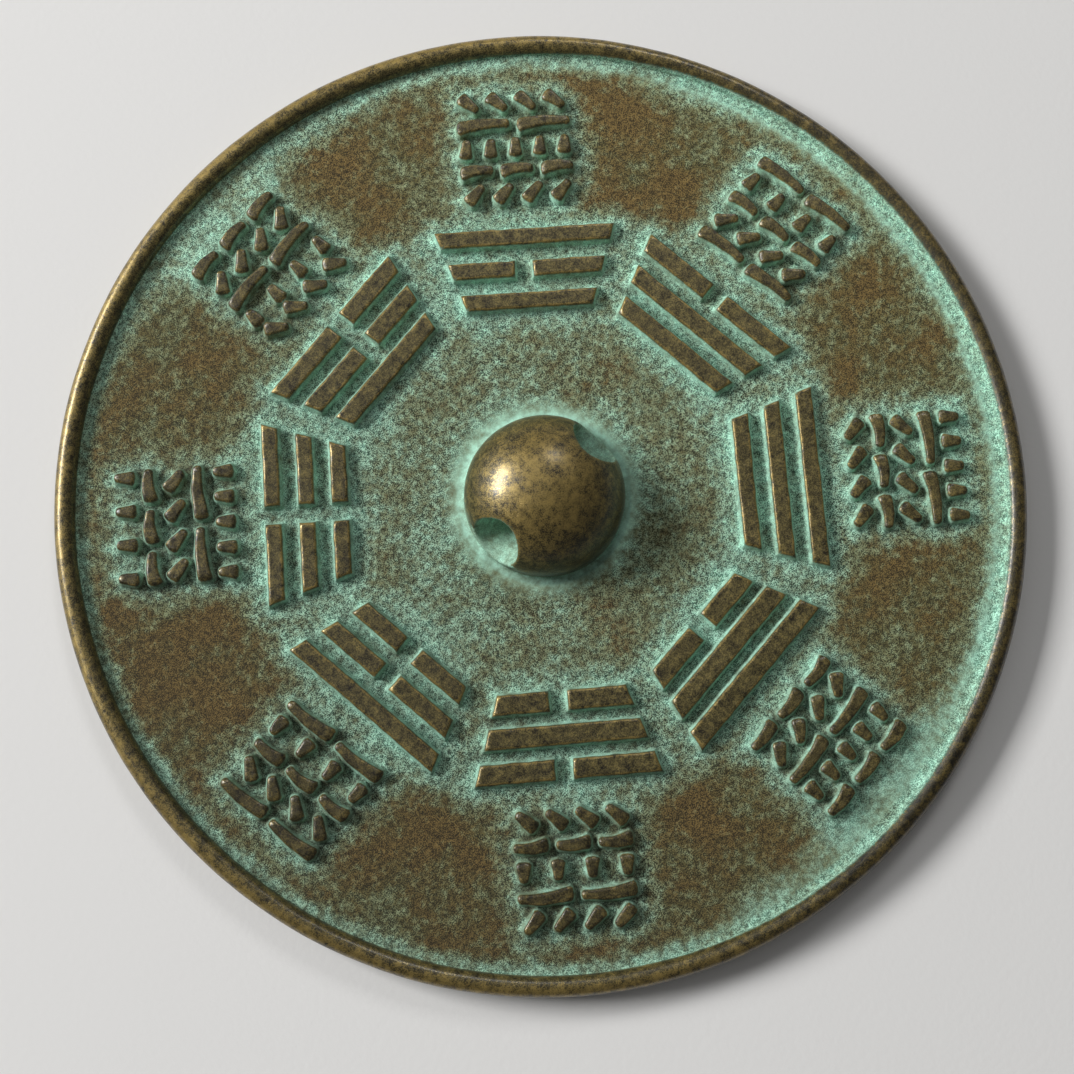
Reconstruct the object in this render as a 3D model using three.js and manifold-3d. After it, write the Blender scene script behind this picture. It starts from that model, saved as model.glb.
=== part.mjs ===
// A cast bronze mirror lying on its polished face. Its back has a rounded rim, a domed knob pierced for
// a cord, eight groups of three bars round the knob and eight blocks of short strokes outside them.
// The origin is the centre of the flat face, +Z goes up through the knob and +X runs along the bore.
import * as THREE from "three";
import { mergeVertices } from "three/addons/utils/BufferGeometryUtils.js";
import Module from "manifold-3d";

// Driving dimensions: millimetres, and degrees for angles
const mirrorRadius = 60;
const fieldHeight = 2.6; // the sunken ground of the back, above the flat face
const reliefHeight = 1.25; // bars and strokes stand this far above the ground
const reliefDraft = 0.28; // their feet are wider than their tops by this much, all round
const overlap = 0.4; // what is joined on goes this far into the ground

const rim = {
  bead: 1.25, // radius of the rounded edge
  height: 2.9, // level of the bead's centre, where the mirror is widest
  lean: 0.45, // the outer wall leans in by this much towards the face
  faceRound: 0.4, // rounding of the face's edge
  foot: 1.1, // width of the hollow where the bead runs out into the ground
  segments: 96,
  beadSteps: 7,
  footSteps: 2,
};

const knob = {
  radius: 9.9,
  waist: 2.0, // straight wall below the dome
  dome: 7.8, // height of the dome above that wall
  foot: 0.6, // flare at the ground
  bore: 3.25, // radius of the cord hole
  boreHeight: 4.4, // its axis above the ground
  segments: 56,
  domeSteps: 8,
  boreSegments: 32,
};

// The bars of a group, from the rim inwards. The ring of groups is turned a little
// against the bore. Each group was set by hand, so it leans a little and its gaps are off the middle.
const bars = {
  distances: [33.3, 29.15, 25.05],
  halfAngle: 18.2, // the ends are cut along rays from the centre
  gap: 2.3,
  turn: 4.2,
};
const groups = [
  { whole: [false, true, true], width: 2.3, lean: 0.3, gapShift: 0 },
  { whole: [true, false, true], width: 2.05, lean: -0.5, gapShift: 0.4 },
  { whole: [false, false, true], width: 2.3, lean: 1.2, gapShift: -0.7 },
  { whole: [false, false, false], width: 1.95, lean: -0.8, gapShift: 0.2 },
  { whole: [true, false, false], width: 2.2, lean: 0, gapShift: -0.2 },
  { whole: [false, true, false], width: 2.45, lean: 0.2, gapShift: -0.5 },
  { whole: [true, true, false], width: 2.45, lean: 0.1, gapShift: 0.2 },
  { whole: [true, true, true], width: 2.05, lean: 0, gapShift: 0 },
];

// The blocks of strokes that stand in the place of an inscription. A block is five rows, read from
// the rim inwards, and a row is one kind of stroke, so many times: - level, / rising, \ falling,
// | upright. Level strokes share the row's width, and the others stand evenly along it.
const blocks = {
  distance: 45.1,
  width: 14.4,
  rowPitch: 3.0,
  levelGap: 0.9, // between the level strokes of a row
  thick: 1.75, // width of a stroke's top at its start
  thin: 1.1, // and at its end
  tip: 0.35, // the start and the end come to a blunt point this long
  bend: 0.25, // the middle of a level stroke is bowed by this much
};
const strokeKinds = {
  "-": { lean: 3 },
  "/": { length: 3.1, lean: 46 },
  "\\": { length: 3.1, lean: -42 },
  "|": { length: 2.55, lean: 86 },
};
const blockRows = [
  ["-2", "|4", "-3", "/4", "-2"],
  ["\\4", "-2", "|5", "-3", "/4"],
  ["-3", "/4", "-2", "|4", "\\4"],
  ["|4", "-3", "\\4", "-2", "|5"],
  ["-2", "\\4", "-3", "|4", "-2"],
  ["/4", "-2", "|4", "-3", "\\4"],
  ["-3", "|5", "-2", "/4", "-3"],
  ["|5", "-2", "/4", "-3", "\\4"],
];

const wasm = await Module();
wasm.setup();

function solidOf(geometry) {
  const bare = geometry.index ? geometry.toNonIndexed() : geometry.clone();
  bare.deleteAttribute("normal");
  bare.deleteAttribute("uv");
  const merged = mergeVertices(bare, 1e-4);
  return new wasm.Manifold(
    new wasm.Mesh({
      numProp: 3,
      vertProperties: merged.attributes.position.array,
      triVerts: new Uint32Array(merged.index.array),
    }),
  );
}

function geometryOf(solid) {
  const mesh = solid.getMesh();
  const geometry = new THREE.BufferGeometry();
  geometry.setAttribute("position", new THREE.BufferAttribute(mesh.vertProperties, 3));
  geometry.setIndex(new THREE.BufferAttribute(mesh.triVerts, 1));
  geometry.computeVertexNormals();
  return geometry;
}

const radians = THREE.MathUtils.degToRad;

// Points of an arc about (x, y), with its two ends
function arc(x, y, radiusX, radiusY, from, to, steps) {
  return Array.from({ length: steps + 1 }, (_, i) => {
    const angle = radians(from + ((to - from) * i) / steps);
    return new THREE.Vector2(x + radiusX * Math.cos(angle), y + radiusY * Math.sin(angle));
  });
}

// A profile of radius and height, turned about +Z
function turned(profile, segments) {
  return solidOf(new THREE.LatheGeometry(profile, segments).rotateX(Math.PI / 2));
}

// The disc: flat face, leaning outer wall, rounded bead, hollow foot and flat ground
function plate() {
  const { bead, height, lean, faceRound, foot, beadSteps, footSteps } = rim;
  const beadCentre = mirrorRadius - bead;
  const faceRadius = mirrorRadius - lean;
  const innerWall = mirrorRadius - 2 * bead;
  const profile = [
    new THREE.Vector2(0, 0),
    ...arc(faceRadius - faceRound, faceRound, faceRound, faceRound, -90, 0, 1),
    ...arc(beadCentre, height, bead, bead, 0, 180, beadSteps),
    ...arc(innerWall - foot, height, foot, height - fieldHeight, 0, -90, footSteps).slice(1),
    new THREE.Vector2(0, fieldHeight),
  ];
  return turned(profile, rim.segments);
}

// The knob: a low wall with a flared foot, and a dome on it
function dome() {
  const { radius, waist, dome: rise, foot, domeSteps, segments } = knob;
  const floor = fieldHeight - overlap;
  const profile = [
    new THREE.Vector2(0, floor),
    new THREE.Vector2(radius + foot, floor),
    new THREE.Vector2(radius + foot, fieldHeight),
    new THREE.Vector2(radius, fieldHeight + foot),
    ...arc(0, fieldHeight + waist, radius, rise, 0, 90, domeSteps),
  ];
  profile.at(-1).x = 0;
  return turned(profile, segments);
}

function cordHole() {
  const length = 3 * knob.radius;
  const hole = new THREE.CylinderGeometry(knob.bore, knob.bore, length, knob.boreSegments);
  hole.rotateZ(Math.PI / 2).translate(0, 0, fieldHeight + knob.boreHeight);
  return solidOf(hole);
}

// Something flat-topped with leaning sides, standing on the ground, from the outline of its top
function raised(outline) {
  const geometry = new THREE.ExtrudeGeometry(new THREE.Shape(outline), {
    depth: overlap,
    bevelThickness: reliefHeight,
    bevelSize: reliefDraft,
    bevelSegments: 1,
  });
  return solidOf(geometry.translate(0, 0, fieldHeight - overlap));
}

// An outline given as [outwards, leftwards] pairs, seen from the centre along an axis at an angle
function placed(pairs, angle) {
  const out = new THREE.Vector2(Math.cos(radians(angle)), Math.sin(radians(angle)));
  const left = new THREE.Vector2(-out.y, out.x);
  return pairs.map(([u, v]) => out.clone().multiplyScalar(u).addScaledVector(left, v));
}

// The tops of one bar: its ends lie on rays from the centre, and a broken bar is two with a gap
function barOutlines(distance, width, whole, gapShift) {
  const reach = Math.tan(radians(bars.halfAngle));
  const inner = distance - width / 2;
  const outer = distance + width / 2;
  const corners = (a, b, c, d) => [[inner, a], [outer, b], [outer, c], [inner, d]];
  if (whole) return [corners(-inner * reach, -outer * reach, outer * reach, inner * reach)];
  const low = gapShift - bars.gap / 2;
  const high = gapShift + bars.gap / 2;
  return [
    corners(-inner * reach, -outer * reach, low, low),
    corners(high, high, outer * reach, inner * reach),
  ];
}

function barGroup({ whole, width, lean, gapShift }, index) {
  const angle = bars.turn + 45 * index + lean;
  return bars.distances
    .flatMap((distance, row) => barOutlines(distance, width, whole[row], gapShift))
    .map((pairs) => raised(placed(pairs, angle)));
}

// One stroke: broad at its start, narrow at its end, a long one bowed. Pairs are [along, across].
function strokeOutline(length, bend) {
  const { thick, thin, tip } = blocks;
  const stations = bend ? [0, 0.5, 1] : [0, 1];
  const side = (sign) =>
    stations.map((s) => {
      const half = (thick + (thin - thick) * s) / 2;
      return [(s - 0.5) * (length - 2 * tip), bend * Math.sin(Math.PI * s) + sign * half];
    });
  return [[-length / 2, 0], ...side(-1), [length / 2, 0], ...side(1).reverse()];
}

// The strokes of one row: where their middles are across it, and their length, lean and bend
function strokeRow(row) {
  const { width, levelGap, thick, bend } = blocks;
  const kind = strokeKinds[row[0]];
  const count = Number(row[1]);
  const level = kind.length === undefined;
  const length = level ? (width - levelGap * (count - 1)) / count : kind.length;
  const room = level
    ? length
    : length * Math.cos(radians(kind.lean)) + thick * Math.abs(Math.sin(radians(kind.lean)));
  const step = (width - room) / (count - 1);
  return Array.from({ length: count }, (_, i) => ({
    across: (room - width) / 2 + i * step,
    length,
    lean: kind.lean,
    bend: level ? bend : 0,
  }));
}

function strokeBlock(rows, index) {
  const { distance, rowPitch } = blocks;
  const angle = bars.turn + 45 * index;
  return rows.flatMap((row, r) => {
    const out = distance + ((rows.length - 1) / 2 - r) * rowPitch;
    return strokeRow(row).map(({ across, length, lean, bend }) => {
      const [c, s] = [Math.cos(radians(lean)), Math.sin(radians(lean))];
      const pairs = strokeOutline(length, bend).map(([along, side]) => [
        out + along * s + side * c,
        -(across + along * c - side * s),
      ]);
      return raised(placed(pairs, angle));
    });
  });
}

const relief = [...groups.flatMap(barGroup), ...blockRows.flatMap(strokeBlock)];
const body = relief.reduce((whole, piece) => whole.add(piece), plate().add(dome()));
const bronze = new THREE.MeshStandardMaterial({ color: 0x6b5a3c, roughness: 0.55, metalness: 0.8 });
const mirror = new THREE.Mesh(geometryOf(body.subtract(cordHole())), bronze);
mirror.name = "bronze_mirror";

const group = new THREE.Group();
group.add(mirror);
export default group;
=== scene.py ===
# The looks of a cast bronze mirror that lies on its polished face, decorated back up.
# Sizes in the dictionaries are millimetres and degrees, the scene itself is in metres.
import math

import bpy
import numpy as np
from mathutils import Matrix, Vector, noise
from mathutils.geometry import delaunay_2d_cdt


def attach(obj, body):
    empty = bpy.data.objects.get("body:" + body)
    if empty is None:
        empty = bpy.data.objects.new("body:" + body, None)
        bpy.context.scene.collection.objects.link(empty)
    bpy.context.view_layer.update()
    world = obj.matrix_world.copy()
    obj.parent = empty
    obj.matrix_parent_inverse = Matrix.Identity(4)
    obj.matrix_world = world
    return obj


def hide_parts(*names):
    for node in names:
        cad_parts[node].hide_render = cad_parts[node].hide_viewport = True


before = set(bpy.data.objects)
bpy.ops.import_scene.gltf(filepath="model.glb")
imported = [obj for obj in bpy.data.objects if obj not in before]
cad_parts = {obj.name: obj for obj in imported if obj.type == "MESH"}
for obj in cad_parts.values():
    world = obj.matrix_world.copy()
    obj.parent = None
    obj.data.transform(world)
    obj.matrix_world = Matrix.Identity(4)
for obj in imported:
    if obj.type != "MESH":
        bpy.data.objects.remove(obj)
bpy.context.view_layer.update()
mm = 0.001


# Adds a node with its settings and links, and gives one of its outputs. A socket as a value is linked.
# A mix node's sockets go by number: 0 is the share, 2 and 3 are values, 6 and 7 are colours.
def addNode(tree, kind, inputs=None, output=0, **settings):
    node = tree.nodes.new("ShaderNode" + kind)
    for name, value in settings.items():
        setattr(node, name, value)
    for name, value in (inputs or {}).items():
        if isinstance(value, bpy.types.NodeSocket):
            tree.links.new(value, node.inputs[name])
        else:
            node.inputs[name].default_value = value
    return node.outputs[output] if node.outputs else None


# An sRGB colour as the shader's own linear values
def linearColour(hexText):
    values = [int(hexText[i:i + 2], 16) / 255 for i in (1, 3, 5)]
    return [v / 12.92 if v <= 0.04045 else ((v + 0.055) / 1.055) ** 2.4 for v in values] + [1.0]


# Camera: the photograph's view, worked out from the rim's ellipse and the ring of bars
view = {
    "focalPixels": 1642,
    "imagePixels": 1074,
    "azimuth": -100.76,    # from the picture's right, anticlockwise
    "offVertical": 8.09,
    "distance": 202.1,
    "aim": (-0.91, -4.91, 2.9),
    "boreInPicture": 45.5,  # the bore, which is +X here, points this far up from the picture's right
}


# A direction or place given as seen in the picture, turned to the part's own axes
def fromPicture(vector):
    return Matrix.Rotation(-math.radians(view["boreInPicture"]), 3, "Z") @ Vector(vector)


# A direction from its azimuth and its angle off the vertical
def aimed(azimuth, offVertical):
    a, t = math.radians(azimuth), math.radians(offVertical)
    return Vector((math.sin(t) * math.cos(a), math.sin(t) * math.sin(a), math.cos(t)))


def makeCamera():
    back = aimed(view["azimuth"], view["offVertical"])
    right = Vector((0, 1, 0)).cross(back).normalized()
    axes = [fromPicture(v) for v in (right, back.cross(right), back)]
    data = bpy.data.cameras.new("photoView")
    data.sensor_width = 36
    data.lens = data.sensor_width * view["focalPixels"] / view["imagePixels"]
    data.clip_start = 0.01
    camera = bpy.data.objects.new("photoView", data)
    place = fromPicture(Vector(view["aim"]) + back * view["distance"]) * mm
    camera.matrix_world = Matrix.Translation(place) @ Matrix(axes).transposed().to_4x4()
    bpy.context.scene.collection.objects.link(camera)
    bpy.context.scene.camera = camera


makeCamera()
print("camera set")


# The relief, laid out as on the solid: groups of bars, and blocks of strokes outside them
ground = 2.6
bars = {"distances": (33.3, 29.15, 25.05), "halfAngle": 18.2, "gap": 2.3, "turn": 4.2}
groups = [
    {"whole": (False, True, True), "width": 2.3, "lean": 0.3, "gapShift": 0},
    {"whole": (True, False, True), "width": 2.05, "lean": -0.5, "gapShift": 0.4},
    {"whole": (False, False, True), "width": 2.3, "lean": 1.2, "gapShift": -0.7},
    {"whole": (False, False, False), "width": 1.95, "lean": -0.8, "gapShift": 0.2},
    {"whole": (True, False, False), "width": 2.2, "lean": 0, "gapShift": -0.2},
    {"whole": (False, True, False), "width": 2.45, "lean": 0.2, "gapShift": -0.5},
    {"whole": (True, True, False), "width": 2.45, "lean": 0.1, "gapShift": 0.2},
    {"whole": (True, True, True), "width": 2.05, "lean": 0, "gapShift": 0},
]
# A row of a block is one kind of stroke, so many times: - level, / rising, \ falling, | upright
blocks = {
    "distance": 45.1, "width": 14.4, "rowPitch": 3.0, "levelGap": 0.9,
    "thick": 1.75, "thin": 1.1, "tip": 0.35, "bend": 0.25, "stations": 6,
}
strokeKinds = {
    "-": {"length": None, "lean": 3},
    "/": {"length": 3.1, "lean": 46},
    "\\": {"length": 3.1, "lean": -42},
    "|": {"length": 2.55, "lean": 86},
}
blockRows = [
    ("-2", "|4", "-3", "/4", "-2"),
    ("\\4", "-2", "|5", "-3", "/4"),
    ("-3", "/4", "-2", "|4", "\\4"),
    ("|4", "-3", "\\4", "-2", "|5"),
    ("-2", "\\4", "-3", "|4", "-2"),
    ("/4", "-2", "|4", "-3", "\\4"),
    ("-3", "|5", "-2", "/4", "-3"),
    ("|5", "-2", "/4", "-3", "\\4"),
]


# Pairs of outwards and leftwards, seen from the centre along an axis at an angle
def placed(pairs, angle):
    out = np.array((math.cos(math.radians(angle)), math.sin(math.radians(angle))))
    pairs = np.array(pairs, float)
    return pairs[:, :1] * out + pairs[:, 1:] * np.array((-out[1], out[0]))


# The tops of one bar: its ends lie on rays from the centre, and a broken bar is two with a gap
def barOutlines(distance, width, whole, gapShift):
    reach = math.tan(math.radians(bars["halfAngle"]))
    inner, outer = distance - width / 2, distance + width / 2
    if whole:
        spans = [(-inner * reach, -outer * reach, outer * reach, inner * reach)]
    else:
        low, high = gapShift - bars["gap"] / 2, gapShift + bars["gap"] / 2
        spans = [(-inner * reach, -outer * reach, low, low), (high, high, outer * reach, inner * reach)]
    return [[(inner, a), (outer, b), (outer, c), (inner, d)] for a, b, c, d in spans]


# A stroke with blunt round ends, broad at its start and narrow at its end
def strokeOutline(length, bend):
    tip, count = blocks["tip"], blocks["stations"]
    straight = length - 2 * tip
    side = []
    for i in range(count + 1):
        s = i / count
        half = (blocks["thick"] + (blocks["thin"] - blocks["thick"]) * s) / 2
        side.append((s * straight - straight / 2, bend * math.sin(math.pi * s), half))
    first, last, corner = side[0][2], side[-1][2], math.sqrt(0.5)
    rounded = straight / 2 + tip * corner
    side = [(-rounded, 0, first * corner)] + side + [(rounded, 0, last * corner)]
    lower = [(along, bow - half) for along, bow, half in side]
    upper = [(along, bow + half) for along, bow, half in reversed(side)]
    return [(-length / 2, 0)] + lower + [(length / 2, 0)] + upper


# The strokes of one row: their outline, their places across it and their lean
def strokeRow(row):
    kind, count, width = strokeKinds[row[0]], int(row[1]), blocks["width"]
    level = kind["length"] is None
    length = (width - blocks["levelGap"] * (count - 1)) / count if level else kind["length"]
    lean = math.radians(kind["lean"])
    room = length if level else length * math.cos(lean) + blocks["thick"] * abs(math.sin(lean))
    step = (width - room) / (count - 1)
    outline = strokeOutline(length, blocks["bend"] if level else 0)
    return [(outline, (room - width) / 2 + i * step, lean) for i in range(count)]


def reliefOutlines():
    outlines = []
    for index, group in enumerate(groups):
        angle = bars["turn"] + 45 * index + group["lean"]
        for distance, whole in zip(bars["distances"], group["whole"]):
            for pairs in barOutlines(distance, group["width"], whole, group["gapShift"]):
                outlines.append(placed(pairs, angle))
    for index, rows in enumerate(blockRows):
        angle = bars["turn"] + 45 * index
        for r, row in enumerate(rows):
            out = blocks["distance"] + ((len(rows) - 1) / 2 - r) * blocks["rowPitch"]
            for outline, across, lean in strokeRow(row):
                c, s = math.cos(lean), math.sin(lean)
                pairs = [(out + a * s + b * c, -(across + a * c - b * s)) for a, b in outline]
                outlines.append(placed(pairs, angle))
    return outlines


# The cast surface: how the relief rises from the ground, and how far apart the mesh's points are
casting = {
    "height": 1.25,
    "topRound": 0.15,     # the side starts this far inside the top's outline
    "footRound": 0.42,    # and ends this far outside it
    "rings": 8,           # rows of points down a side
    "topRing": 0.25,      # one more row lies this much further in, on the top
    "offRow": 0.02,       # points that are out of their row by more than this belong to another outline
    "along": 0.5,         # distance between the points of a row
    "fanAngle": 0.45,     # and the angle between them round a corner, in radians
    "groundStep": 1.05,   # distance between the ground's own points
    "edgeClear": 0.6,     # the share of it that they keep from the rim and the knob
    "reliefClear": 0.3,   # and how far they keep from the relief's foot
    "weld": 0.05,         # points in the same square of this size become one
    "farAway": 7.0,       # distances to the relief aren't worked out beyond this
    "edgeWander": 0.09, "edgeLength": 1.4,   # how much the relief's edges wander, and over what length
    "tallWander": 0.08, "tallLength": 7,     # the same for the height of its tops
    "drifts": ((8, 0.05), (2.2, 0.02)),      # and lengths and amounts for the whole surface
    "evenBelow": 2,       # which wanders less and less below this height
    "seed": 14,           # and would wander in another way each run without a seed
    "wetSide": -35.5,     # most salt lies towards this side of the plate
    "bandSide": 5,        # and it reaches furthest in from the rim towards this one
    "wetCosines": (-0.3, 0.7),               # it comes on between these cosines of the angle to that side
    "paintedLightSide": 65,      # painted light and shade: the skin is painted lightest towards this side, where more light falls, and darkest on the far side, as seen in the picture
}


# Distance to one outline, negative inside it
def signedDistance(points, outline):
    following = np.roll(outline, -1, axis=0)
    edge = following - outline
    offset = points[:, None] - outline[None]
    share = np.clip((offset * edge).sum(2) / (edge ** 2).sum(1), 0, 1)
    distance = np.hypot(*np.moveaxis(offset - share[..., None] * edge, 2, 0)).min(1)
    rises = (outline[:, 1] <= points[:, 1:]) != (following[:, 1] <= points[:, 1:])
    with np.errstate(divide="ignore", invalid="ignore"):
        crossing = outline[:, 0] + (points[:, 1:] - outline[:, 1]) * edge[:, 0] / edge[:, 1]
    inside = (rises & (points[:, :1] < crossing)).sum(1) % 2 == 1
    return np.where(inside, -distance, distance)


# Distances to the nearest raised top, negative on it, and to the next nearest
def reliefDistance(points, outlines):
    nearest = np.full(len(points), casting["farAway"])
    second = nearest.copy()
    for outline in outlines:
        middle = outline.mean(0)
        reach = np.hypot(*(outline - middle).T).max() + casting["farAway"]
        near = np.hypot(*(points - middle).T) < reach
        found = signedDistance(points[near], outline)
        second[near] = np.minimum(second[near], np.maximum(nearest[near], found))
        nearest[near] = np.minimum(nearest[near], found)
    return nearest, second


# Points at an even distance outside or inside an outline, round its corners too
def offsetPoints(outline, offset):
    found = []
    count = len(outline)
    edges = [outline[(i + 1) % count] - outline[i] for i in range(count)]
    turns = [math.atan2(-edge[0], edge[1]) for edge in edges]   # the way each edge faces
    for i, edge in enumerate(edges):
        steps = max(1, round(float(np.hypot(*edge)) / casting["along"]))
        share = np.arange(steps + 1)[:, None] / steps
        facing = np.array((math.cos(turns[i]), math.sin(turns[i])))
        found.append(outline[i] + edge * share + facing * offset)
        bend = (turns[(i + 1) % count] - turns[i] + math.pi) % (2 * math.pi) - math.pi
        fan = int(bend / casting["fanAngle"]) if offset > 0 else 0
        for k in range(1, fan):
            angle = turns[i] + bend * k / fan
            corner = outline[(i + 1) % count]
            found.append((corner + offset * np.array((math.cos(angle), math.sin(angle))))[None])
    return np.concatenate(found)


def ringPoints(radius, count):
    angles = np.arange(count) * 2 * math.pi / count
    return np.stack((radius * np.cos(angles), radius * np.sin(angles)), 1)


# Sizes of the plate and the knob, as on the solid, and how finely they are divided
plate = {
    "radius": 60.0, "bead": 1.25, "widest": 2.9, "lean": 0.45, "faceRound": 0.4, "foot": 1.1,
    "segments": 540, "beadSteps": 18, "footSteps": 7, "faceSteps": 4,
    "wallShares": (0.75, 0.5, 0.25), "faceRadii": (57, 52, 44, 34, 24, 14, 6),
}
knob = {
    "radius": 9.9, "waist": 2.0, "dome": 7.8, "foot": 0.6, "footWidth": 1.1,
    "bore": 3.25, "boreHeight": 4.4, "mouthRound": 0.55,
    "segments": 132, "step": 0.42, "mouthSegments": 72, "mouthSteps": 6, "boreSteps": 18,
    "footSteps": 8, "wallShares": (0.3, 0.6), "domeSteps": 60,
}


# Points of an arc about (x, y), with its two ends
def arc(x, y, radiusX, radiusY, start, stop, steps):
    angles = np.radians(np.linspace(start, stop, steps + 1))
    return np.stack((x + radiusX * np.cos(angles), y + radiusY * np.sin(angles)), 1)


# Radius and height, from the ground's edge over the rim and round to the flat face
def rimProfile():
    p = plate
    crown = p["radius"] - p["bead"]
    wall = p["radius"] - 2 * p["bead"]
    face = p["radius"] - p["lean"]
    turn = p["faceRound"]
    return np.concatenate((
        arc(wall - p["foot"], p["widest"], p["foot"], p["widest"] - ground, -90, 0, p["footSteps"])[:-1],
        arc(crown, p["widest"], p["bead"], p["bead"], 180, 0, p["beadSteps"]),
        [(face + p["lean"] * s, turn + (p["widest"] - turn) * s) for s in p["wallShares"]],
        arc(face - turn, turn, turn, turn, 0, -90, p["faceSteps"]),
        [(radius, 0.0) for radius in p["faceRadii"]],
    ))


# The same from the ground outside the knob's foot up to its top
def knobProfile():
    k = knob
    level, width = ground + k["foot"], k["footWidth"]
    foot = arc(k["radius"] + width, level, width, k["foot"], 270, 180, k["footSteps"])
    wall = [(k["radius"], level + (k["waist"] - k["foot"]) * s) for s in k["wallShares"]]
    dome = arc(0, ground + k["waist"], k["radius"], k["dome"], 0, 90, k["domeSteps"])
    return np.concatenate((foot, wall, dome))


# Triangles over points in a plane, as indices of those points
def triangulate(points, edges=()):
    flat = [Vector(p) for p in points.tolist()]
    _, _, faces, origins, _, _ = delaunay_2d_cdt(flat, list(edges), [], 0, 1e-7, True)
    return [[origins[i][0] for i in face] for face in faces]


# What each point is marked with, for the material: the salt on it, whether it stands up from the
# ground, how rubbed it is, and how much darker than the rest it is painted, by tarnish and by painted
# shade and light. They are shares, about 0 to 1. Salt that is rubbed lies smooth.
markNames = ("verdigris", "raised", "worn", "tarnish")


# Collects rows of points with their marks, and the faces between them
class Cast:
    def __init__(self):
        self.points, self.marks, self.faces, self.count = [], [], [], 0

    def add(self, points, **marks):
        points = np.asarray(points, float)
        self.points.append(points)
        shares = [np.broadcast_to(np.asarray(marks.get(n, 0), float), len(points)) for n in markNames]
        self.marks.append(np.stack(shares, 1))
        first = self.count
        self.count += len(points)
        return np.arange(first, self.count)

    def bridge(self, a, b):
        for i in range(len(a)):
            j = (i + 1) % len(a)
            self.faces.append((a[i], a[j], b[j], b[i]))

    def weave(self, indices, triangles):
        self.faces += [tuple(indices[i] for i in t) for t in triangles]


# From 0 at low to 1 at high, and level at both
def smooth(low, high, value):
    s = np.clip((value - low) / (high - low), 0, 1)
    return s * s * (3 - 2 * s)


# From 1 at a distance of 0 or less towards 0 over some length
def fading(distance, length):
    return np.exp(-np.maximum(distance, 0) / length)


# From 1 at the centre towards 0 on both sides of it
def ridge(value, centre, width):
    return np.exp(-((value - centre) / width) ** 2)


# From 0 where the plate lay dry to 1 towards the side where it lay wet
def wetness(points, side=casting["wetSide"]):
    azimuth = np.arctan2(points[:, 1], points[:, 0])
    return smooth(*casting["wetCosines"], np.cos(azimuth - math.radians(side)))


# A pair is a value and what is added to it where a share is 1, such as in the wet or inside the ring
def adding(pair, share):
    return pair[0] + pair[1] * share


# Marks on the ground and the relief, with lengths in mm. "Radii" are where a change begins and ends,
# "At" is the middle and the width of a line, and "Fade" is how far something takes to run out.
groundMarks = {
    "oxide": (-0.26, 0.2),        # salt between the blocks of strokes, and added in the wet
    "sage": (0.56, -0.15),        # the same inside the ring of bars
    "sageRadii": (41.5, 34.5),
    "innerRadii": (38, 36),       # whatever else differs inside the ring does so from here
    "thick": (0.75, 0.25),        # thick salt round the relief and along the rim
    "thickFrom": 0.8,             # it starts to fade this far from the relief,
    "thickInner": 0.4,            # further by this much inside the ring,
    "thickWander": 9,             # and unevenly, by so many times the wander of the edges
    "thickFade": 1.8,
    "rimFade": (0.45, 1.3), "rimStart": 0.2,
    "knobFade": (3.2, -1.4),
    "thickCover": 0.92,
    "crease": 0.3,                # more salt in the creases at the feet of relief and rim
    "creaseFade": 0.25, "rimCreaseFade": 0.5,
    "grooveWidth": 1.2,           # a place this near to two outlines lies in a groove between bars
    "grooveFade": 0.4, "grooveSide": (0.0, 0.5),
    # painted shade: how much darker the floors of grooves between bars are painted, where the bars' shadows
    # fall; and how much darker the strokes' tops are
    "grooveShadeAmount": 0.75, "strokeDull": 0.25,
    "bareTop": (-0.09, 0.11),     # salt ends between these distances from a top's outline
    "edgeWear": (0.4, 0.6),       # rubbed edges of the tops, more so inside the ring
    "edgeAt": (-0.13, 0.12),
    "sideWear": 0.7, "sideAt": (0.15, 0.2),
    "knobWear": 0.9, "knobWearFade": 1.1,
    "rimWear": 0.65, "rimWearFade": 0.8,
}


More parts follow.
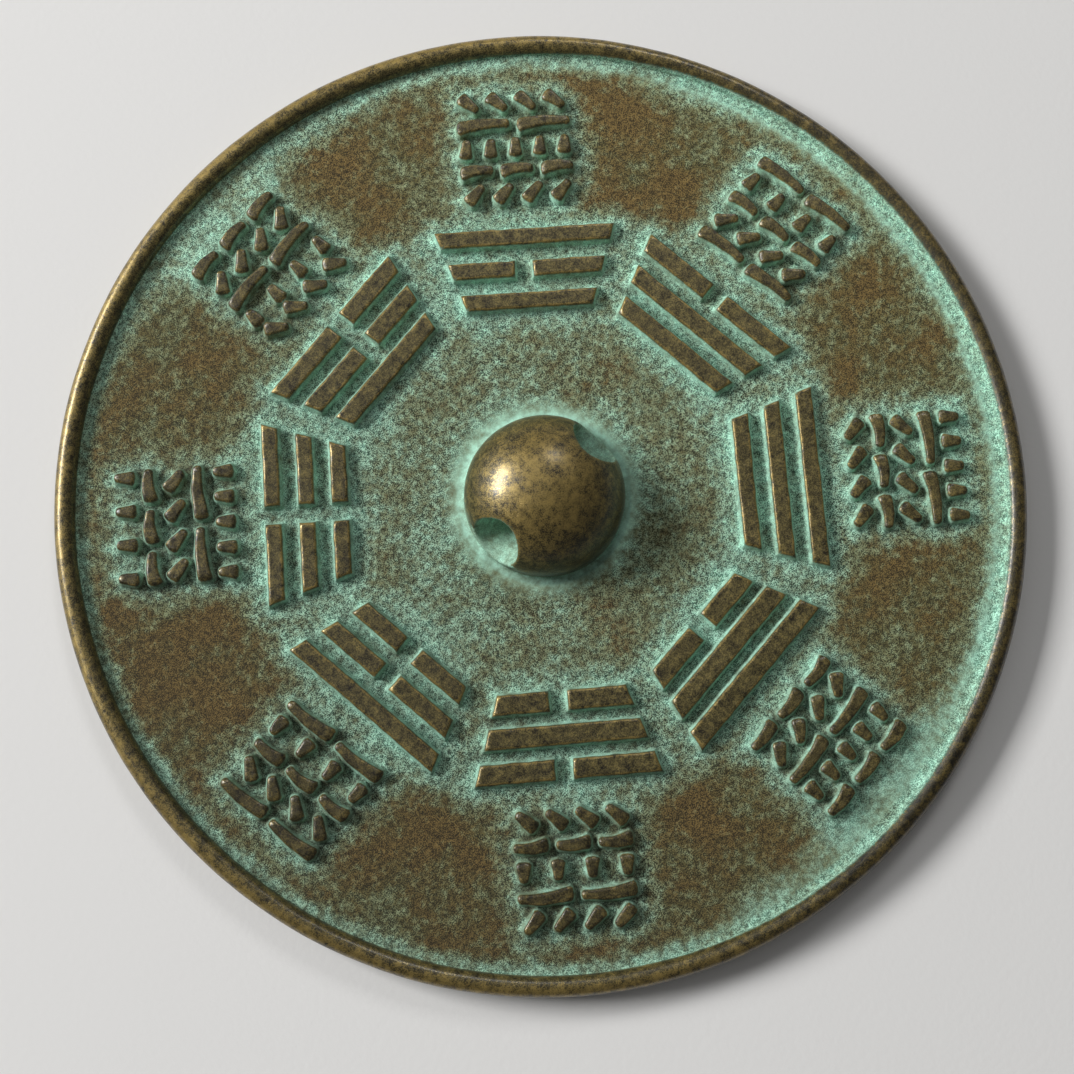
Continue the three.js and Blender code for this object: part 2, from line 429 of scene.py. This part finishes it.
# The ground and the relief: rows of points along each outline, and a triangular grid between them
def makeGround(cast):
    outlines = reliefOutlines()
    outerRadius = rimProfile()[0, 0]
    innerRadius = knobProfile()[0, 0]
    outer = ringPoints(outerRadius, plate["segments"])
    inner = ringPoints(innerRadius, knob["segments"])
    sideTop, sideFoot = -casting["topRound"], casting["footRound"]
    offsets = [sideTop - casting["topRing"]] + list(np.linspace(sideTop, sideFoot, casting["rings"]))
    found = []
    for offset in offsets:
        ring = np.concatenate([offsetPoints(o, offset) for o in outlines])
        found.append(ring[np.abs(reliefDistance(ring, outlines)[0] - offset) < casting["offRow"]])
    step = casting["groundStep"]
    edge = step * casting["edgeClear"]
    rows = np.arange(-int(outerRadius / step) - 2, int(outerRadius / step) + 3)
    grid = np.array([((i + (j % 2) / 2) * step, j * step * math.sqrt(0.75)) for j in rows for i in rows])
    radius = np.hypot(*grid.T)
    grid = grid[(radius > innerRadius + edge) & (radius < outerRadius - edge)]
    found.append(grid[reliefDistance(grid, outlines)[0] > sideFoot + casting["reliefClear"]])
    middle = np.concatenate(found)
    _, kept = np.unique(np.round(middle / casting["weld"]), axis=0, return_index=True)
    middle = middle[np.sort(kept)]
    points = np.concatenate((outer, inner, middle))

    def wandering(layer, length, amount):
        return np.array([noise.noise(Vector((x, y, layer)) / length) for x, y in points]) * amount

    away, second = reliefDistance(points, outlines)
    wander = wandering(3, casting["edgeLength"], casting["edgeWander"])
    rise = 1 - smooth(sideTop, sideFoot, away + wander)
    tall = wandering(9, casting["tallLength"], casting["tallWander"])
    height = ground + rise * (casting["height"] + tall)

    # bare oxide outside the bars, some salt inside them, more round whatever stands up from the ground
    g = groundMarks
    radius = np.hypot(*points.T)
    toRim, toKnob = outerRadius - radius, radius - innerRadius
    wet = wetness(points)
    inside = smooth(*g["innerRadii"], radius)
    base = np.maximum(adding(g["sage"], wet) * smooth(*g["sageRadii"], radius), adding(g["oxide"], wet))
    rimFade = adding(g["rimFade"], wetness(points, casting["bandSide"]))
    reach = np.maximum(away - g["thickFrom"] - g["thickInner"] * inside + g["thickWander"] * wander, 0)
    thick = np.maximum.reduce((
        adding(g["thick"], np.maximum(inside, wet)) * ridge(reach, 0, g["thickFade"]),
        adding(g["thick"], wet) * fading(toRim + g["rimStart"], rimFade),
        fading(toKnob, adding(g["knobFade"], wet)),
    ))
    crease = np.maximum(fading(away - sideFoot, g["creaseFade"]), fading(toRim, g["rimCreaseFade"]))
    # painted shade: the floors of grooves between bars lose their crease salt and are painted darker, where
    # the bars' shadows fall
    paintedGrooveShade = fading(second - g["grooveWidth"], g["grooveFade"]) * smooth(*g["grooveSide"], away)
    salt = base + (1 - base) * g["thickCover"] * thick + g["crease"] * crease * (1 - paintedGrooveShade)
    raised = 1 - smooth(*g["bareTop"], away + wander)
    worn = np.maximum.reduce((
        adding(g["edgeWear"], inside) * ridge(away, *g["edgeAt"]),
        g["sideWear"] * ridge(away, *g["sideAt"]),
        g["knobWear"] * ridge(toKnob, 0, g["knobWearFade"]),
        g["rimWear"] * wet * ridge(toRim, 0, g["rimWearFade"]),
    ))
    # the last mark holds painted shade in the grooves between bars, and a darker tone on the strokes' tops
    indices = cast.add(
        np.column_stack((points, height)), verdigris=salt, raised=raised, worn=worn,
        tarnish=g["grooveShadeAmount"] * paintedGrooveShade + g["strokeDull"] * raised * (1 - inside),
    )
    innerSet = set(range(len(outer), len(outer) + len(inner)))
    triangles = [t for t in triangulate(points) if not innerSet.issuperset(t)]
    cast.weave(indices, triangles)
    return indices[:len(outer)], indices[len(outer):len(outer) + len(inner)]


# Marks on the rim. Places on the bead are shares of the way over it, from its inner side to its outer.
rimMarks = {
    "salt": (1.0, 0.3), "footSalt": 0.4,     # salt along the rim, less down its foot
    "climb": (-0.03, 0.27),                  # how far it climbs the bead
    "climbEdge": (-0.1, 0.12),
    "worn": 0.2, "crestWorn": (0.75, -0.4),  # wear all over, and on the crest
    "crestAt": (0.66, 0.22),
    # the bead's top is darker towards the side where most salt lies, and a little lighter away from it
    "darkerSide": (-0.25, 1.3),
}
# The outer wall and the flat face
faceMarks = {"verdigris": 0.2, "raised": 0.8, "worn": 0.2}


# From the ground's edge over the bead and the outer wall to the middle of the flat face
def makeRim(cast, groundEdge):
    m = rimMarks
    profile = rimProfile()
    footSteps, beadSteps = plate["footSteps"], plate["beadSteps"]
    previous = groundEdge
    wet = wetness(ringPoints(1, plate["segments"]))
    # share towards that side, where the bead is darker and its crest less rubbed
    darkerSide = wet ** 2
    climb = adding(m["climb"], wet)
    for i, (radius, height) in enumerate(profile[1:], 1):
        share = (i - footSteps) / beadSteps
        points = np.insert(ringPoints(radius, plate["segments"]), 2, height, axis=1)
        if share <= 1:
            bare = smooth(climb + m["climbEdge"][0], climb + m["climbEdge"][1], share)
            row = cast.add(
                points, verdigris=adding(m["salt"], wet) + m["footSalt"] * min(0, share), raised=bare,
                worn=m["worn"] + adding(m["crestWorn"], darkerSide) * ridge(share, *m["crestAt"]),
                tarnish=adding(m["darkerSide"], darkerSide) * bare,
            )
        else:
            row = cast.add(points, **faceMarks)
        cast.bridge(row, previous)
        previous = row
    centre = cast.add([(0, 0, 0)], **faceMarks)[0]
    for i in range(len(previous)):
        cast.faces.append((previous[(i + 1) % len(previous)], previous[i], centre))


# Marks on the knob: handled metal, with salt on its foot, under its mouths and in the bore, and painted
# shade on its side away from the light
knobMarks = {
    "salt": 1.3, "boreSalt": 1.2,
    "bareUp": (0.05, 0.7),              # salt ends between these shares of the waist's height
    "lipFade": 0.4, "lipBelow": 1.2,    # and lies round a mouth's edge, this far below the bore's axis
    "worn": 0.9, "sideLoss": 0.7,       # rubbed most on top, and less from the first share of the radius
    "sideShares": (0.4, 1.0),
    "footWorn": 0.9, "footUp": (0.6, 0.1),
    "boreWorn": 0.7,
    # painted shade: how much darker the knob is painted on its -Y side, which turns away from the key light
    "darkerSide": 0.7,
}


# The knob, woven as a flat disc with two holes and then laid on its profile, and the bore through it
def makeKnob(cast, footRing):
    m = knobMarks
    profile = knobProfile()
    lengths = np.concatenate(([0], np.cumsum(np.hypot(*np.diff(profile, axis=0).T))))
    lengths = lengths[-1] - lengths                     # measured down from the top
    k, axisHeight = knob, ground + knob["boreHeight"]
    mouthRadius = k["bore"] + k["mouthRound"]

    # where the disc that the knob is woven on comes to lie on the knob
    def onKnob(flat):
        down = np.hypot(*flat.T)
        angle = np.arctan2(flat[:, 1], flat[:, 0])
        radius = np.interp(down, lengths[::-1], profile[::-1, 0])
        height = np.interp(down, lengths[::-1], profile[::-1, 1])
        return np.stack((radius * np.cos(angle), radius * np.sin(angle), height), 1)

    # the line where a hole of some radius along X comes out of the knob
    def mouthLine(radius, side):
        angles = np.arange(k["mouthSegments"]) * 2 * math.pi / k["mouthSegments"]
        y, z = radius * np.cos(angles), axisHeight + radius * np.sin(angles)
        reach = np.interp(z, profile[:, 1], profile[:, 0])
        return np.stack((side * np.sqrt(reach ** 2 - y ** 2), y, z), 1)

    def flattened(points):
        down = np.interp(points[:, 2], profile[:, 1], lengths)
        angle = np.arctan2(points[:, 1], points[:, 0])
        return np.stack((down * np.cos(angle), down * np.sin(angle)), 1)

    def fromBore(points):
        return np.hypot(points[:, 1], points[:, 2] - axisHeight)

    segments = k["segments"]
    foot = ringPoints(lengths[0], segments)
    mouths = [mouthLine(mouthRadius, side) for side in (1, -1)]
    rings = []
    for j, down in enumerate(np.arange(k["step"], lengths[0] - k["step"] / 2, k["step"])):
        count = max(6, round(2 * math.pi * min(down, k["radius"]) / k["step"]))
        angles = (np.arange(count) + (j % 2) / 2) * 2 * math.pi / count
        rings.append(np.stack((down * np.cos(angles), down * np.sin(angles)), 1))
    middle = np.concatenate([np.zeros((1, 2))] + rings)
    middle = middle[fromBore(onKnob(middle)) > mouthRadius + k["step"] / 2]
    loops = [flattened(mouth) for mouth in mouths]
    flat = np.concatenate((foot, *loops, middle))
    places = np.concatenate((onKnob(flat[:segments]), *mouths, onKnob(middle)))[segments:]
    n = k["mouthSegments"]
    starts = (segments, segments + n)                   # where each mouth's points start
    edges = [(start + i, start + (i + 1) % n) for start in starts for i in range(n)]
    up = (places[:, 2] - ground) / k["waist"]
    out = np.hypot(places[:, 0], places[:, 1]) / k["radius"]
    low = places[:, 2] < axisHeight - m["lipBelow"]
    lip = fading(fromBore(places) - mouthRadius, m["lipFade"]) * low
    knobPoints = cast.add(
        places, verdigris=m["salt"],
        raised=np.clip(smooth(*m["bareUp"], up) - lip, 0, 1),
        worn=np.maximum(
            m["worn"] - m["sideLoss"] * smooth(*m["sideShares"], out),
            m["footWorn"] * smooth(*m["footUp"], up),
        ),
        # painted shade on the knob's side away from the light
        tarnish=m["darkerSide"] * np.maximum(-places[:, 1], 0) / k["radius"],
    )
    indices = np.concatenate((footRing, knobPoints))
    triangles = []
    for t in triangulate(flat, edges):
        centre = onKnob(flat[t].mean(0)[None])
        if fromBore(centre)[0] > mouthRadius or abs(centre[0, 0]) < k["bore"]:
            triangles.append(t)
    cast.weave(indices, triangles)

    # the rounded mouths, and the bore between them
    boreMarks = {"verdigris": m["boreSalt"], "worn": m["boreWorn"]}
    ends = []
    for outer, start, side in zip(mouths, starts, (1, -1)):
        corner = mouthLine(k["bore"], side)
        inner = corner - np.array((side * k["mouthRound"], 0, 0))
        row = indices[start:start + n]
        for step in range(1, k["mouthSteps"] + 1):
            s = step / k["mouthSteps"]
            points = outer * (1 - s) ** 2 + corner * 2 * s * (1 - s) + inner * s * s
            low = points[:, 2] < axisHeight - m["lipBelow"]
            following = cast.add(points, raised=np.where(low, 0, 1 - s), **boreMarks)
            pair = (row, following) if side > 0 else (following, row)   # so that all faces look outwards
            cast.bridge(*pair)
            row = following
        ends.append((row, inner))
    (row, a), (lastRow, b) = ends
    for step in range(1, k["boreSteps"]):
        s = step / k["boreSteps"]
        following = cast.add(a * (1 - s) + b * s, **boreMarks)
        cast.bridge(row, following)
        row = following
    cast.bridge(row, lastRow)


# A cast surface is never quite even: all points wander a little, but the face stays flat
def unevened(points):
    noise.seed_set(casting["seed"])
    moved = points.copy()
    for i, p in enumerate(points):
        spot = Vector(p)
        broad, fine = [noise.noise_vector(spot / length) * much for length, much in casting["drifts"]]
        moved[i] += np.array(broad + fine) * min(1.0, p[2] / casting["evenBelow"])
    return moved


def makeMirror():
    cast = Cast()
    groundEdge, footRing = makeGround(cast)
    print("ground and relief woven")
    makeRim(cast, groundEdge)
    makeKnob(cast, footRing)
    print("rim and knob built")
    points = unevened(np.concatenate(cast.points)) * mm
    mesh = bpy.data.meshes.new("bronzeMirror")
    mesh.from_pydata(points.tolist(), [], [tuple(int(i) for i in f) for f in cast.faces])
    # painted light and shade: the skin is painted lighter towards one side of the plate and darker towards
    # the other
    light = np.array(fromPicture(aimed(casting["paintedLightSide"], 90)))
    marks = np.concatenate(cast.marks).astype(np.float32)
    tarnish = markNames.index("tarnish")
    marks[:, tarnish] += 0.5 - 0.5 * (points @ light) / (plate["radius"] * mm)
    for column, name in enumerate(markNames):
        attribute = mesh.attributes.new(name, "FLOAT", "POINT")
        attribute.data.foreach_set("value", np.ascontiguousarray(marks[:, column]))
    mesh.validate()
    mesh.shade_smooth()
    piece = bpy.data.objects.new("bronzeMirror", mesh)
    bpy.context.scene.collection.objects.link(piece)
    return piece


# Patinated tin bronze, sand cast. The casting skin is grainy, and salts of copper lie on its grains:
# none on the brown oxide, sage further in, and chalky turquoise in the hollows. What stands out is
# darker and waxed by handling, with a dull gold where the edges are rubbed.
bronzeFinish = {
    # sizes of the patterns in mm, and their detail and roughness
    "patterns": {
        "grain": (0.145, 2, 0.6), "clump": (0.5, 2, 0.6), "mottle": (1.3, 4, 0.65), "patch": (8.0, 3, 0.6),
    },
    "clumping": 0.3,                          # share of the clumps in the grain
    # the values of a pattern that are stretched to 0 and 1
    "contrast": {"grain": (0.435, 0.565), "mottle": (0.3, 0.7), "patch": (0.35, 0.65)},
    # low grains and high grains, from bare oxide to the deepest hollows, and where on the scale of
    # verdigris each colour gives way to the next
    "lowGrains": ("#32280f", "#2b2e1a", "#2f4637", "#3a6a56"),
    "highGrains": ("#7e6839", "#929d77", "#b0d6b9", "#bcecd4"),
    "turns": ((-0.1, 0.55), (0.4, 1.1), (0.9, 1.6)),
    "oliveOxide": ("#2d2b12", "#736c40"),     # the bare oxide's other tint, in patches
    "salting": {"mottle": 1.9, "patch": 1.5},   # how much the patterns vary the salt
    "chalkTone": 0.7,                         # where the salt lies smooth, between low and high grains
    "raisedLow": "#191407", "raisedHigh": "#72673d", "raisedMottle": 0.4,
    "metal": "#9d864c",
    "rubbing": {"mottle": 1.9, "grain": 3.4},   # how much the patterns vary the wear
    "rubbed": (0.2, 1.2), "mostRubbed": 0.7,
    "edgeGrain": 0.5, "edge": (0.25, 0.75),   # how the salt ends at what is raised
    "tarnish": 0.5, "cloudy": 1.2,            # darkening by the tarnish mark, which also holds painted shade and light, and by the mottle
    "metallic": (0.15, 0.65),                 # raised, from unrubbed to rubbed
    "roughness": (0.85, 0.32),                # from the ground to what is raised
    "grainDepth": 0.03, "raisedGrain": 0.3,   # in mm, and the share of it that handling left
    "wax": 0.3, "waxRoughness": 0.24,         # the wax lies on what is raised
}


def patinatedBronze():
    f = bronzeFinish
    material = bpy.data.materials.new("patinatedBronze")
    material.use_nodes = True
    tree = material.node_tree
    tree.nodes.clear()
    place = addNode(tree, "TexCoord", output="Object")
    verdigris, raised, worn, tarnish = [
        addNode(tree, "Attribute", output="Fac", attribute_name=name) for name in markNames
    ]
    patterns = {}
    for name, (size, detail, roughness) in f["patterns"].items():
        inputs = {"Vector": place, "Scale": 1 / (size * mm), "Detail": detail, "Roughness": roughness}
        patterns[name] = addNode(tree, "TexNoise", inputs)
    patterns["grain"] = addNode(tree, "Mix", {0: f["clumping"], 2: patterns["grain"], 3: patterns["clump"]})
    spread = {}
    for name, (low, high) in f["contrast"].items():
        inputs = {"Value": patterns[name], "From Min": low, "From Max": high}
        spread[name] = addNode(tree, "MapRange", inputs, interpolation_type="SMOOTHSTEP")

    # in the bore and down the sides of the relief the salt lies smooth: there worn is set, raised isn't
    unraised = addNode(tree, "Math", {0: 1.0, 1: raised}, operation="SUBTRACT")
    chalky = addNode(tree, "Math", {0: worn, 1: unraised}, operation="MULTIPLY")
    grain = addNode(tree, "Mix", {0: chalky, 2: spread["grain"], 3: f["chalkTone"]})

    # each pattern swings about its middle, and moves the salt up and down by that
    salt = verdigris
    for name, amount in f["salting"].items():
        swing = addNode(tree, "Math", {0: patterns[name], 1: 0.5}, operation="SUBTRACT")
        salt = addNode(tree, "Math", {0: swing, 1: amount, 2: salt}, operation="MULTIPLY_ADD")
    skins = []
    for colours, olive in zip((f["lowGrains"], f["highGrains"]), f["oliveOxide"]):
        inputs = {0: spread["patch"], 6: linearColour(colours[0]), 7: linearColour(olive)}
        skin = addNode(tree, "Mix", inputs, output=2, data_type="RGBA")
        for colour, (low, high) in zip(colours[1:], f["turns"]):
            inputs = {"Value": salt, "From Min": low, "From Max": high}
            share = addNode(tree, "MapRange", inputs, interpolation_type="SMOOTHSTEP")
            inputs = {0: share, 6: skin, 7: linearColour(colour)}
            skin = addNode(tree, "Mix", inputs, output=2, data_type="RGBA")
        skins.append(skin)
    skin = addNode(tree, "Mix", {0: grain, 6: skins[0], 7: skins[1]}, output=2, data_type="RGBA")

    # what stands out: dark and light oxide, and metal where it is rubbed
    tone = addNode(tree, "Mix", {0: f["raisedMottle"], 2: grain, 3: spread["mottle"]})
    inputs = {0: tone, 6: linearColour(f["raisedLow"]), 7: linearColour(f["raisedHigh"])}
    handled = addNode(tree, "Mix", inputs, output=2, data_type="RGBA")
    rubbed = worn
    for name, amount in f["rubbing"].items():
        swing = addNode(tree, "Math", {0: patterns[name], 1: 0.5}, operation="SUBTRACT")
        rubbed = addNode(tree, "Math", {0: swing, 1: amount, 2: rubbed}, operation="MULTIPLY_ADD")
    low, high = f["rubbed"]
    inputs = {"Value": rubbed, "From Min": low, "From Max": high, "To Max": f["mostRubbed"]}
    rubbed = addNode(tree, "MapRange", inputs, interpolation_type="SMOOTHSTEP")
    inputs = {0: rubbed, 6: handled, 7: linearColour(f["metal"])}
    handled = addNode(tree, "Mix", inputs, output=2, data_type="RGBA")

    # the salt ends at what is raised, in and out between the grains
    swing = addNode(tree, "Math", {0: grain, 1: 0.5}, operation="SUBTRACT")
    edge = addNode(tree, "Math", {0: swing, 1: f["edgeGrain"], 2: raised}, operation="MULTIPLY_ADD")
    low, high = f["edge"]
    inputs = {"Value": edge, "From Min": low, "From Max": high}
    bare = addNode(tree, "MapRange", inputs, interpolation_type="SMOOTHSTEP")
    colour = addNode(tree, "Mix", {0: bare, 6: skin, 7: handled}, output=2, data_type="RGBA")
    # the tarnish mark darkens the colour, and lightens it where it is below its middle: tarnish, and
    # painted shade and light
    value = 1.0
    for pattern, amount in ((tarnish, -f["tarnish"]), (patterns["mottle"], f["cloudy"])):
        swing = addNode(tree, "Math", {0: pattern, 1: 0.5}, operation="SUBTRACT")
        value = addNode(tree, "Math", {0: swing, 1: amount, 2: value}, operation="MULTIPLY_ADD")
    colour = addNode(tree, "HueSaturation", {"Value": value, "Color": colour})

    low, high = f["metallic"]
    metallic = addNode(tree, "MapRange", {"Value": rubbed, "To Min": low, "To Max": high})
    metallic = addNode(tree, "Math", {0: bare, 1: metallic}, operation="MULTIPLY")
    low, high = f["roughness"]
    roughness = addNode(tree, "MapRange", {"Value": bare, "To Min": low, "To Max": high})
    depth = addNode(tree, "MapRange", {"Value": bare, "To Min": 1.0, "To Max": f["raisedGrain"]})
    height = addNode(tree, "Math", {0: grain, 1: depth}, operation="MULTIPLY")
    bump = addNode(tree, "Bump", {"Height": height, "Strength": 1.0, "Distance": f["grainDepth"] * mm})
    wax = addNode(tree, "Math", {0: bare, 1: f["wax"]}, operation="MULTIPLY")
    shader = addNode(tree, "BsdfPrincipled", {
        "Base Color": colour, "Metallic": metallic, "Roughness": roughness, "Normal": bump,
        "Coat Weight": wax, "Coat Roughness": f["waxRoughness"],
    })
    addNode(tree, "OutputMaterial", {"Surface": shader})
    return material


# Plain pale floor, and soft light from the left and from above the picture
stage = {
    "size": 3000, "below": 0.05, "colour": "#e6e5e3", "roughness": 0.9,
    "fibre": 0.8, "fibreDetail": 3, "fibreDepth": 0.05, "fibreStrength": 0.4,
    "sky": 0.11, "skyColour": "#f4f4f4", "lightDistance": 1500,
}
lights = [
    {"name": "leftWindow", "azimuth": 162, "offVertical": 58, "size": (700, 380), "power": 26},
    {"name": "upperWindow", "azimuth": 77, "offVertical": 46, "size": (360, 360), "power": 3.4},
    {"name": "overheadFill", "azimuth": 140, "offVertical": 25, "size": (1400, 1400), "power": 1.5},
]


# Pale matte card, whose fibres only just show
def matteCard():
    s = stage
    material = bpy.data.materials.new("matteCard")
    material.use_nodes = True
    tree = material.node_tree
    tree.nodes.clear()
    place = addNode(tree, "TexCoord", output="Object")
    inputs = {"Vector": place, "Scale": 1 / (s["fibre"] * mm), "Detail": s["fibreDetail"]}
    fibre = addNode(tree, "TexNoise", inputs)
    inputs = {"Height": fibre, "Strength": s["fibreStrength"], "Distance": s["fibreDepth"] * mm}
    bump = addNode(tree, "Bump", inputs)
    shader = addNode(tree, "BsdfPrincipled", {
        "Base Color": linearColour(s["colour"]), "Roughness": s["roughness"], "Normal": bump,
    })
    addNode(tree, "OutputMaterial", {"Surface": shader})
    return material


def makeStage():
    half = stage["size"] / 2 * mm
    mesh = bpy.data.meshes.new("floor")
    level = -stage["below"] * mm
    corners = [(x * half, y * half, level) for x, y in ((-1, -1), (1, -1), (1, 1), (-1, 1))]
    mesh.from_pydata(corners, [], [(0, 1, 2, 3)])
    floor = bpy.data.objects.new("floor", mesh)
    floor.data.materials.append(matteCard())
    bpy.context.scene.collection.objects.link(floor)
    for light in lights:
        data = bpy.data.lights.new(light["name"], "AREA")
        data.shape = "RECTANGLE"
        data.size, data.size_y = (s * mm for s in light["size"])
        data.energy = light["power"]
        lamp = bpy.data.objects.new(light["name"], data)
        towards = fromPicture(aimed(light["azimuth"], light["offVertical"]))
        lamp.location = towards * stage["lightDistance"] * mm
        lamp.rotation_euler = towards.to_track_quat("Z", "Y").to_euler()
        bpy.context.scene.collection.objects.link(lamp)
    world = bpy.data.worlds.new("studio")
    world.use_nodes = True
    background = world.node_tree.nodes["Background"]
    background.inputs["Color"].default_value = linearColour(stage["skyColour"])
    background.inputs["Strength"].default_value = stage["sky"]
    bpy.context.scene.world = world
    bpy.context.scene.view_settings.view_transform = "Standard"


mirror = makeMirror()
mirror.data.materials.append(patinatedBronze())
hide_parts("bronze_mirror")
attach(mirror, "root")
print("mirror made:", len(mirror.data.vertices), "points,", len(mirror.data.polygons), "faces")

makeStage()
print("stage and lights set")
